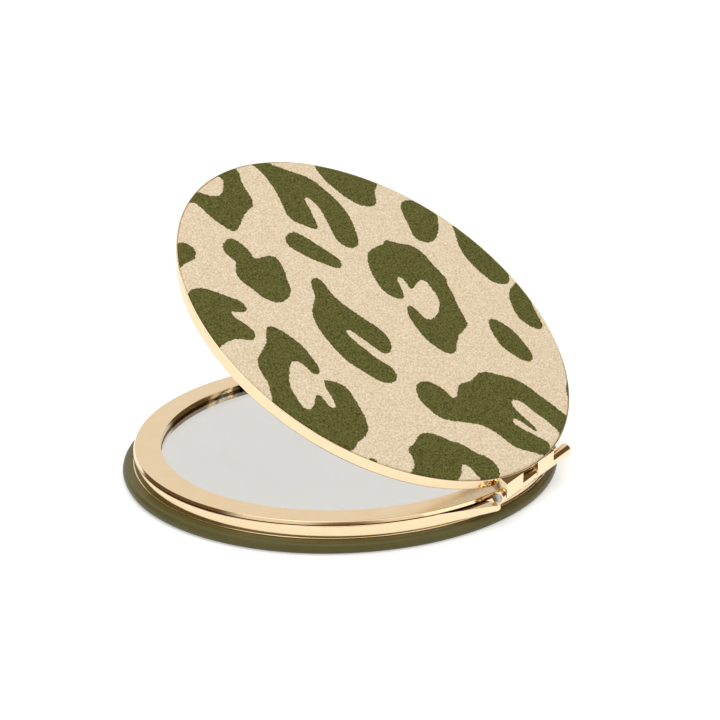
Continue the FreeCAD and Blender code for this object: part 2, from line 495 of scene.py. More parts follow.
@dataclass(frozen=True)
class GoldPlate(Finish):
    """Pale gold electroplate on a polished zinc casting: a bright warm mirror with a faint polishing haze."""

    name: str = "pale_gold_electroplate"
    colour: str = "#F1DCB8"
    thin_colour: str = "#EBD3AA"
    haze: float = 0.085
    haze_spread: float = 0.05
    haze_size: float = 3.0
    haze_detail: float = 3.0
    mark_size: float = 0.09
    mark_detail: float = 2.0
    mark_height: float = 0.0008
    mark_strength: float = 0.35

    def surface(self, tree: Tree, place: Socket) -> Socket:
        """Metal whose haze and tint drift slowly, with fine polishing marks.

        Args:
            tree: Node tree of the material.
            place: Object coordinates in metres.

        Returns:
            The shader's output socket.
        """
        drift = add(tree, "ShaderNodeTexNoise", {
            "Vector": place, "Scale": per_mm(self.haze_size), "Detail": self.haze_detail})
        haze = add(tree, "ShaderNodeMapRange", {
            "Value": drift.outputs["Fac"], "To Min": self.haze - self.haze_spread / 2,
            "To Max": self.haze + self.haze_spread / 2})
        tint = add(tree, "ShaderNodeMix", {
            "Factor": drift.outputs["Fac"], "A": linear(self.colour), "B": linear(self.thin_colour)},
            data_type="RGBA")
        # Polishing marks are far finer than a pixel, so they are drawn about half a pixel wide.
        marks = add(tree, "ShaderNodeTexNoise", {
            "Vector": place, "Scale": per_mm(self.mark_size), "Detail": self.mark_detail})
        bump = add(tree, "ShaderNodeBump", {
            "Height": marks.outputs["Fac"], "Strength": self.mark_strength,
            "Distance": self.mark_height * MM})
        metal = add(tree, "ShaderNodeBsdfPrincipled", {
            "Base Color": tint.outputs["Result"], "Metallic": 1.0, "Roughness": haze.outputs["Result"],
            "Normal": bump.outputs["Normal"]})
        return metal.outputs["BSDF"]


@dataclass(frozen=True)
class PrintedSuede(Finish):
    """Short-nap printed microfibre suede: matt, mottled by its nap, the print's edges slightly ragged."""

    name: str = "printed_microfibre_suede"
    ground: str = "#F9EAD0"
    ground_shade: str = "#CDB389"
    ink: str = "#78753D"
    ink_shade: str = "#33310B"
    nap_size: float = 0.32
    nap_detail: float = 3.0
    nap_roughness: float = 0.65
    nap_range: Point = (0.35, 0.65)
    nap_height: float = 0.07
    nap_strength: float = 0.5
    mottle_size: float = 2.2
    mottle_detail: float = 3.0
    mottle_share: float = 0.2
    rag_size: float = 0.4
    rag_detail: float = 2.0
    rag_range: Point = (0.3, 0.7)
    rag: float = 0.12
    edge: float = 0.07
    roughness: float = 0.95
    specular: float = 0.06
    sheen: float = 0.03
    sheen_roughness: float = 0.6
    depth_attribute: str = "print_depth"

    def surface(self, tree: Tree, place: Socket) -> Socket:
        """Beige ground and olive ink, chosen by the depth inside the nearest spot's outline.

        Args:
            tree: Node tree of the material.
            place: Object coordinates in metres.

        Returns:
            The shader's output socket.
        """
        depth = add(tree, "ShaderNodeAttribute", attribute_name=self.depth_attribute)
        rag = add(tree, "ShaderNodeTexNoise", {
            "Vector": place, "Scale": per_mm(self.rag_size), "Detail": self.rag_detail})
        ragged = add(tree, "ShaderNodeMapRange", {
            "Value": rag.outputs["Fac"], "From Min": self.rag_range[0], "From Max": self.rag_range[1],
            "To Min": -self.rag, "To Max": self.rag})
        shifted = add(tree, "ShaderNodeMath", {
            0: depth.outputs["Fac"], 1: ragged.outputs["Result"]}, operation="ADD")
        inked = add(tree, "ShaderNodeMapRange", {
            "Value": shifted.outputs[0], "From Min": -self.edge, "From Max": self.edge},
            interpolation_type="SMOOTHSTEP")
        # Single fibres are finer than a pixel, so the nap is drawn at about one and a half pixels.
        nap = add(tree, "ShaderNodeTexNoise", {
            "Vector": place, "Scale": per_mm(self.nap_size), "Detail": self.nap_detail,
            "Roughness": self.nap_roughness})
        grain = add(tree, "ShaderNodeMapRange", {
            "Value": nap.outputs["Fac"], "From Min": self.nap_range[0], "From Max": self.nap_range[1]})
        mottle = add(tree, "ShaderNodeTexNoise", {
            "Vector": place, "Scale": per_mm(self.mottle_size), "Detail": self.mottle_detail})
        shade = add(tree, "ShaderNodeMix", {
            "Factor": self.mottle_share, "A": grain.outputs["Result"], "B": mottle.outputs["Fac"]},
            data_type="FLOAT")
        ground, ink = (
            add(tree, "ShaderNodeMix", {
                "Factor": shade.outputs["Result"], "A": linear(light), "B": linear(dark)}, data_type="RGBA")
            for light, dark in ((self.ground, self.ground_shade), (self.ink, self.ink_shade)))
        colour = add(tree, "ShaderNodeMix", {
            "Factor": inked.outputs["Result"], "A": ground.outputs["Result"], "B": ink.outputs["Result"]},
            data_type="RGBA")
        bump = add(tree, "ShaderNodeBump", {
            "Height": nap.outputs["Fac"], "Strength": self.nap_strength, "Distance": self.nap_height * MM})
        cloth = add(tree, "ShaderNodeBsdfPrincipled", {
            "Base Color": colour.outputs["Result"], "Roughness": self.roughness,
            "Specular IOR Level": self.specular, "Sheen Weight": self.sheen,
            "Sheen Roughness": self.sheen_roughness, "Normal": bump.outputs["Normal"]})
        return cloth.outputs["BSDF"]


@dataclass(frozen=True)
class OliveLeather(Finish):
    """Smooth pigmented leather: olive, low sheen, a fine pebble of grain and small shifts of tone."""

    name: str = "olive_pigmented_leather"
    colour: str = "#6C6535"
    shade: str = "#554F26"
    tone_size: float = 6.0
    tone_detail: float = 5.0
    grain_size: float = 0.5
    grain_softness: float = 0.6
    grain_height: float = 0.02
    grain_strength: float = 0.5
    gloss: float = 0.42
    gloss_spread: float = 0.14
    specular: float = 0.28

    def surface(self, tree: Tree, place: Socket) -> Socket:
        """Pebbled grain over slowly drifting tone.

        Args:
            tree: Node tree of the material.
            place: Object coordinates in metres.

        Returns:
            The shader's output socket.
        """
        tone = add(tree, "ShaderNodeTexNoise", {
            "Vector": place, "Scale": per_mm(self.tone_size), "Detail": self.tone_detail})
        grain = add(tree, "ShaderNodeTexVoronoi", {
            "Vector": place, "Scale": per_mm(self.grain_size), "Smoothness": self.grain_softness},
            feature="SMOOTH_F1")
        colour = add(tree, "ShaderNodeMix", {
            "Factor": tone.outputs["Fac"], "A": linear(self.colour), "B": linear(self.shade)},
            data_type="RGBA")
        gloss = add(tree, "ShaderNodeMapRange", {
            "Value": grain.outputs["Distance"], "To Min": self.gloss - self.gloss_spread / 2,
            "To Max": self.gloss + self.gloss_spread / 2})
        bump = add(tree, "ShaderNodeBump", {
            "Height": grain.outputs["Distance"], "Strength": self.grain_strength,
            "Distance": self.grain_height * MM}, invert=True)
        hide = add(tree, "ShaderNodeBsdfPrincipled", {
            "Base Color": colour.outputs["Result"], "Roughness": gloss.outputs["Result"],
            "Specular IOR Level": self.specular, "Normal": bump.outputs["Normal"]})
        return hide.outputs["BSDF"]


@dataclass(frozen=True)
class TurnedSteel(Finish):
    """Cut steel wire, left bare: grey metal with a mottled haze of fine turning marks."""

    name: str = "bare_turned_steel"
    colour: str = "#C3C5C3"
    shade: str = "#A2A4A3"
    mark_size: float = 0.12
    mark_detail: float = 3.0
    haze: float = 0.34
    haze_spread: float = 0.16

    def surface(self, tree: Tree, place: Socket) -> Socket:
        """Grey metal whose tone and haze follow the marks.

        Args:
            tree: Node tree of the material.
            place: Object coordinates in metres.

        Returns:
            The shader's output socket.
        """
        marks = add(tree, "ShaderNodeTexNoise", {
            "Vector": place, "Scale": per_mm(self.mark_size), "Detail": self.mark_detail})
        colour = add(tree, "ShaderNodeMix", {
            "Factor": marks.outputs["Fac"], "A": linear(self.colour), "B": linear(self.shade)},
            data_type="RGBA")
        haze = add(tree, "ShaderNodeMapRange", {
            "Value": marks.outputs["Fac"], "To Min": self.haze - self.haze_spread / 2,
            "To Max": self.haze + self.haze_spread / 2})
        metal = add(tree, "ShaderNodeBsdfPrincipled", {
            "Base Color": colour.outputs["Result"], "Metallic": 1.0, "Roughness": haze.outputs["Result"]})
        return metal.outputs["BSDF"]


@dataclass(frozen=True)
class SilverCoat(Finish):
    """Chemically deposited silver behind glass: a neutral mirror, a touch grey, with no visible texture."""

    name: str = "deposited_mirror_silver"
    colour: str = "#E7ECEF"
    worn: str = "#E2E6E9"
    drift_size: float = 12.0
    roughness: float = 0.01

    def surface(self, tree: Tree, place: Socket) -> Socket:
        """Smooth silver whose tone drifts very slightly.

        Args:
            tree: Node tree of the material.
            place: Object coordinates in metres.

        Returns:
            The shader's output socket.
        """
        drift = add(tree, "ShaderNodeTexNoise", {"Vector": place, "Scale": per_mm(self.drift_size)})
        colour = add(tree, "ShaderNodeMix", {
            "Factor": drift.outputs["Fac"], "A": linear(self.colour), "B": linear(self.worn)},
            data_type="RGBA")
        metal = add(tree, "ShaderNodeBsdfPrincipled", {
            "Base Color": colour.outputs["Result"], "Metallic": 1.0, "Roughness": self.roughness})
        return metal.outputs["BSDF"]


@dataclass(frozen=True)
class FloatGlass(Finish):
    """Thin float glass: clear, flat and fully polished, with an unseen trace of handling haze."""

    name: str = "clear_float_glass"
    colour: str = "#FDFDFB"
    film_size: float = 15.0
    most_haze: float = 0.012
    ior: float = 1.52

    def surface(self, tree: Tree, place: Socket) -> Socket:
        """Clear glass whose haze drifts.

        Args:
            tree: Node tree of the material.
            place: Object coordinates in metres.

        Returns:
            The shader's output socket.
        """
        film = add(tree, "ShaderNodeTexNoise", {"Vector": place, "Scale": per_mm(self.film_size)})
        haze = add(tree, "ShaderNodeMapRange", {
            "Value": film.outputs["Fac"], "To Min": 0.0, "To Max": self.most_haze})
        glass = add(tree, "ShaderNodeBsdfPrincipled", {
            "Base Color": linear(self.colour), "IOR": self.ior, "Transmission Weight": 1.0,
            "Roughness": haze.outputs["Result"]})
        return glass.outputs["BSDF"]


@dataclass(frozen=True)
class InnerStuff(Finish):
    """Plain matt sheet inside the compact, such as foam, board or tape: mottled like its fibres or cells."""

    name: str = "inner_sheet"
    colour: str = "#CCCCC4"
    shade: str = "#B5B5AC"
    cell_size: float = 0.4
    roughness: float = 0.85
    metallic: float = 0.0
    cell_detail: float = 4.0
    cell_height: float = 0.03
    cell_strength: float = 0.3

    def surface(self, tree: Tree, place: Socket) -> Socket:
        """Mottled colour with a matching bump.

        Args:
            tree: Node tree of the material.
            place: Object coordinates in metres.

        Returns:
            The shader's output socket.
        """
        cells = add(tree, "ShaderNodeTexNoise", {
            "Vector": place, "Scale": per_mm(self.cell_size), "Detail": self.cell_detail})
        colour = add(tree, "ShaderNodeMix", {
            "Factor": cells.outputs["Fac"], "A": linear(self.colour), "B": linear(self.shade)},
            data_type="RGBA")
        bump = add(tree, "ShaderNodeBump", {
            "Height": cells.outputs["Fac"], "Strength": self.cell_strength,
            "Distance": self.cell_height * MM})
        sheet = add(tree, "ShaderNodeBsdfPrincipled", {
            "Base Color": colour.outputs["Result"], "Roughness": self.roughness, "Metallic": self.metallic,
            "Normal": bump.outputs["Normal"]})
        return sheet.outputs["BSDF"]


class Finishes:
    """Every finish of the compact by its use."""

    GOLD = GoldPlate()
    SUEDE = PrintedSuede()
    LEATHER = OliveLeather()
    STEEL = TurnedSteel()
    SILVER = SilverCoat()
    GLASS = FloatGlass()
    FOAM = InnerStuff("polyether_foam", "#C9C7BE", "#B3B1A6", cell_size=0.5)
    BOARD = InnerStuff("pressed_fibre_board", "#8A765A", "#6E5C44", cell_size=0.6)
    TAPE = InnerStuff("acrylic_adhesive_tape", "#DCDCD6", "#CFCFC8", cell_size=0.8, roughness=0.6)
    MAGNET = InnerStuff("nickel_plated_magnet", "#B4B4B6", "#9C9C9F", cell_size=0.3, roughness=0.3,
                        metallic=1.0)


def settle(piece: Piece, body: Body, node: str, finish: Finish, sharp: float = 35.0) -> None:
    """Shade a modelled piece, open it if it is the lid's, finish it and put it in the place of a CAD node.

    Args:
        piece: Modelled piece.
        body: Body that it rides on.
        node: CAD node that it stands for.
        finish: Its finish.
        sharp: Edges sharper than this many degrees stay sharp.
    """
    smooth(piece, sharp)
    if body is Body.LID:
        open_up(piece)
    finish.put_on(piece)
    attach(piece, body.value)
    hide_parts(node)
    faces = len(piece.data.polygons)
    LOG.info("%s: %d faces, rides on %s, stands for %s", piece.name, faces, body.value, node)


# Metal work


def barrel(span: Point) -> Piece:
    """Solid barrel of one knuckle over a span along X in mm, not yet bored."""
    return rod("barrel", HINGE.barrel_radius, span, HINGE.barrel_round)


@dataclass(frozen=True)
class BezelRing:
    """Gold-plated ring with a skirt pressed into its frame and a lip on the mirror's edge; sizes in mm."""

    name: str
    face: float
    back: float
    skirt_end: float
    lip_end: float
    outside: float
    slope: float
    edge_roll: float
    inner_roll: float
    segments: int
    inside: float = 29.68
    lip_outside: float = 30.08
    skirt_inside: float = 32.88
    skirt_outside: float = 33.38

    def build(self) -> Piece:
        """Turn the ring and cut room for the hinge.

        Returns:
            The ring, on the closed compact.
        """
        ring = turned(self.name, [
            (self.inside, self.face, self.inner_roll), (self.outside - self.slope, self.face, self.edge_roll),
            (self.outside, self.back, 0), (self.skirt_outside, self.back, 0),
            (self.skirt_outside, self.skirt_end, 0), (self.skirt_inside, self.skirt_end, 0),
            (self.skirt_inside, self.back, 0), (self.lip_outside, self.back, 0),
            (self.lip_outside, self.lip_end, 0), (self.inside, self.lip_end, 0)], segments=self.segments)
        combine(ring, HINGE.room([HINGE.whole]), Join.CUT)
        return ring


@dataclass
class HalfMetal:
    """Metal of one half of the compact: a casting with a round wall, and its ring; sizes in mm."""

    body: Body
    ring: BezelRing
    radius: float = 34.2
    wall: float = 0.8
    ledge: float = 32.7
    edge_round: float = 0.15

    @property
    def inner(self) -> float:
        """Radius of the wall's inside."""
        return self.radius - self.wall

    @property
    def middle(self) -> float:
        """Radius of the middle of the wall's thickness."""
        return self.radius - self.wall / 2

    def wall_y(self, *ends: float) -> float:
        """Y of the middle of the wall's thickness at the outermost of some places along the hinge."""
        return math.sqrt(self.radius ** 2 - max(abs(x) for x in ends) ** 2) - self.wall / 2

    def casting(self) -> Piece:
        """Model the casting on the closed compact; each half has its own."""
        raise NotImplementedError

    def build(self) -> None:
        """Build the casting and the ring and put them in place."""
        for piece, part in ((self.casting(), "frame"), (self.ring.build(), "bezel_ring")):
            settle(piece, self.body, f"{self.body.value}_{part}", Finishes.GOLD)


@dataclass
class BaseMetal(HalfMetal):
    """Gold-plated dish of the base with a flank and three knuckles, and the ring pressed into it."""

    body: Body = Body.BASE
    ring: BezelRing = BezelRing("base_gold_ring", face=4.75, back=4.25, skirt_end=3.4, lip_end=3.9,
                                outside=34.18, slope=0.26, edge_roll=0.1, inner_roll=0.16, segments=8)
    under: float = 1.9
    floor: float = 2.5
    ledge_top: float = 3.4
    wall_top: float = 4.05
    bead_radius: float = 34.32
    bead_top: float = 2.1
    bead_round: float = 0.05

    def hollow(self) -> Piece:
        """Room inside the wall, which webs and flank stay out of."""
        return rod("hollow", self.middle, (self.under, self.ring.face), axis=Axis.UPRIGHT, steps=RING_STEPS)

    def dish(self) -> Piece:
        """Turn the dish.

        Returns:
            The dish, without its knuckles.
        """
        return turned("base_gold_frame", [
            (0, self.floor, 0), (0, self.under, 0), (self.bead_radius, self.under, self.bead_round),
            (self.bead_radius, self.bead_top, self.bead_round), (self.radius, self.bead_top, 0),
            (self.radius, self.wall_top, self.edge_round), (self.inner, self.wall_top, 0),
            (self.inner, self.ledge_top, 0), (self.ledge, self.ledge_top, 0), (self.ledge, self.floor, 0)])

    def web(self, span: Point) -> Piece:
        """Web that carries one barrel from the wall; most of the long barrel stands free of its web.

        Args:
            span: Start and end of the barrel along X in mm.

        Returns:
            The web.
        """
        start, end = span
        if start == HINGE.left:
            start = end - HINGE.long_web
        inner = self.wall_y(start, end)
        profile = [(inner, HINGE.web_foot), (self.radius, HINGE.web_foot), HINGE.web_touch,
                   (HINGE.axis_y, HINGE.axis_z), (self.radius, self.wall_top), (inner, self.wall_top)]
        web = prism("web", [Vector((start, y, z)) for y, z in profile], Vector((end - start, 0, 0)))
        combine(web, [self.hollow()], Join.CUT)
        return web

    def flank(self, start: float, end: float) -> Piece:
        """Flank that carries the round wall out to the short knuckle; its foot rises towards the pin.

        Args:
            start: Inner end along X in mm.
            end: Outer end of the row of knuckles, in mm.

        Returns:
            The flank.
        """
        tip = end + HINGE.flank_length
        plan = [(start, self.wall_y(start)), (start, HINGE.axis_y), (end, HINGE.axis_y),
                (tip, self.wall_y(tip))]
        flank = prism("flank", [Vector((x, y, HINGE.flank_foot)) for x, y in plan],
                      Vector((0, 0, self.wall_top - HINGE.flank_foot)))
        move(flank, lambda place: place.y > self.radius * MM and place.z < HINGE.web_foot * MM,
             Vector((0, 0, HINGE.flank_rise)))
        combine(flank, [self.hollow()], Join.CUT)
        return flank

    def casting(self) -> Piece:
        """Cast flank, webs and barrels onto the dish and bore them.

        Returns:
            The whole casting.
        """
        casting = self.dish()
        spans = HINGE.base_spans
        knuckles = [make(span) for make in (self.web, barrel) for span in spans]
        combine(casting, [self.flank(*spans[-1])] + knuckles, Join.CAST)
        combine(casting, [HINGE.bore(HINGE.pin_seat)], Join.CUT)
        return casting


@dataclass
class LidMetal(HalfMetal):
    """Gold-plated tray of the lid with its rim and two knuckles, and its ring; modelled closed."""

    body: Body = Body.LID
    ring: BezelRing = BezelRing("lid_gold_ring", face=4.95, back=5.25, skirt_end=6.1, lip_end=5.45,
                                outside=33.5, slope=0.0, edge_roll=0.15, inner_roll=0.2, segments=4)
    wall_bottom: float = 5.45
    ledge_under: float = 6.1
    plate_under: float = 6.85
    seat: float = 7.55
    top: float = 7.8
    pocket: float = 34.85
    pocket_round: float = 0.04
    rim_radius: float = 35.05
    rim_round: float = 0.1
    rim_foot: float = 5.93
    rim_lean: float = 0.43
    rim_shift: Point = (0.24, 0.32)
    # What shifts with the rim's foot lies so far outside the wall and so near the foot in height.
    shift_clear: float = 0.1
    shift_band: float = 0.3

    def tray(self) -> Piece:
        """Turn the tray with its rim and a pocket for the inlay, and cut room for the base's barrels.

        Returns:
            The tray, without its knuckles.
        """
        tray = turned("lid_gold_frame", [
            (0, self.plate_under, 0), (0, self.seat, 0), (self.pocket, self.seat, 0),
            (self.pocket, self.top, self.pocket_round), (self.rim_radius, self.top, self.rim_round),
            (self.rim_radius - self.rim_lean, self.rim_foot, self.edge_round),
            (self.radius, self.wall_bottom, self.edge_round), (self.inner, self.wall_bottom, 0),
            (self.inner, self.ledge_under, 0), (self.ledge, self.ledge_under, 0),
            (self.ledge, self.plate_under, 0)])
        # The rim stands upright beside the hinge and leans in at the front, as its shine in the photo shows.
        move(tray, lambda place: place.xy.length > (self.radius + self.shift_clear) * MM
             and abs(place.z - self.rim_foot * MM) < self.shift_band * MM, Vector((*self.rim_shift, 0)))
        combine(tray, HINGE.room(HINGE.base_spans), Join.CUT)
        return tray

    def tab(self, span: Point) -> Piece:
        """Flat-topped tab that carries one barrel from the wall, a hair shorter than the barrel at each end.

        Args:
            span: Start and end of the barrel along X in mm.

        Returns:
            The tab.
        """
        start, end = span
        inner = self.wall_y(start, end)
        low = self.wall_bottom + HINGE.tab_inset
        profile = [(inner, HINGE.tab_top, 0), (HINGE.tab_top_y, HINGE.tab_top, HINGE.tab_round),
                   (*HINGE.tab_touch, 0), (HINGE.axis_y, HINGE.axis_z, 0), (self.radius, low, 0),
                   (inner, low, 0)]
        tab = prism("tab", [Vector((start + HINGE.tab_inset, y, z)) for y, z, _ in profile],
                    Vector((end - start - 2 * HINGE.tab_inset, 0, 0)), [own for _, _, own in profile])
        hollow = turned("hollow", [
            (0, self.ring.face, 0), (self.middle, self.ring.face, 0), (self.middle, self.seat, 0),
            (self.pocket, self.seat, 0), (self.pocket, self.top, 0), (0, self.top, 0)])
        combine(tab, [hollow], Join.CUT)
        return tab

    def casting(self) -> Piece:
        """Cast tabs and barrels onto the tray and bore them.

        Returns:
            The whole casting.
        """
        casting = self.tray()
        combine(casting, [make(span) for make in (self.tab, barrel) for span in HINGE.lid_spans], Join.CAST)
        combine(casting, [HINGE.bore(HINGE.pin_running)], Join.CUT)
        return casting


@dataclass
class HingePin:
    """Steel pin through all five knuckles, with eased ends."""

    radius: float = HINGE.pin_radius
    chamfer: float = HINGE.pin_chamfer
    facets: int = 2

    def build(self) -> None:
        """Turn the pin and put it in place."""
        left, right = HINGE.whole
        span = left - HINGE.pin_proud, right + HINGE.pin_proud
        pin = rod("steel_hinge_pin", self.radius, span, self.chamfer, segments=self.facets)
        settle(pin, Body.BASE, "hinge_pin", Finishes.STEEL)


@dataclass
class Mirror:
    """Glass of one mirror; it dips a hair into the silver film so that no air shows between them."""

    name: str
    body: Body
    node: str
    front: float
    back: float
    radius: float = 30.98
    arris: float = 0.12

    def build(self) -> None:
        """Turn the glass disc with its eased edges and put it in place."""
        glass = rod(self.name, self.radius, (self.back, self.front), self.arris, Axis.UPRIGHT, RING_STEPS,
                    segments=1)
        settle(glass, self.body, self.node, Finishes.GLASS)


# Soft goods


@dataclass(frozen=True)
class Spot:
    """One printed spot: its outline's points in mm on the closed lid, seen from above with the hinge up."""

    outline: tuple[Point, ...]

    def line(self, share: int = 6) -> np.ndarray:
        """Smooth closed line through the outline's points, a Catmull-Rom curve.

        Args:
            share: Pieces of line from each point to the next.

        Returns:
            Points of the line in mm, one row each.
        """
        points = np.array(self.outline, float)
        before, after, last = np.roll(points, 1, 0), np.roll(points, -1, 0), np.roll(points, -2, 0)
        t = (np.arange(share) / share)[None, :, None]
        a, b, c, d = (p[:, None, :] for p in (before, points, after, last))
        curve = (b + t * (c - a) / 2 + t ** 2 * (a - 2.5 * b + 2 * c - d / 2)
                 + t ** 3 * (1.5 * (b - c) + (d - a) / 2))
        return curve.reshape(-1, 2)

    def depth(self, places: np.ndarray) -> np.ndarray:
        """How deep each place lies inside the spot, in mm; below zero outside it.

        Args:
            places: Points in mm, one row each.

        Returns:
            One depth for each place.
        """
        starts = self.line()
        ends = np.roll(starts, -1, 0)
        nearest = np.full(len(places), np.inf)
        inside = np.zeros(len(places), bool)
        for (x0, y0), (x1, y1) in zip(starts, ends):
            along = np.array((x1 - x0, y1 - y0))
            out = places - (x0, y0)
            t = np.clip(out @ along / max(along @ along, NO_LENGTH), 0, 1)
            nearest = np.minimum(nearest, ((out - t[:, None] * along) ** 2).sum(1))
            if y0 != y1:
                spans = (y0 > places[:, 1]) != (y1 > places[:, 1])
                inside ^= spans & (places[:, 0] < x0 + (places[:, 1] - y0) * (x1 - x0) / (y1 - y0))
        return np.sqrt(nearest) * np.where(inside, 1, -1)


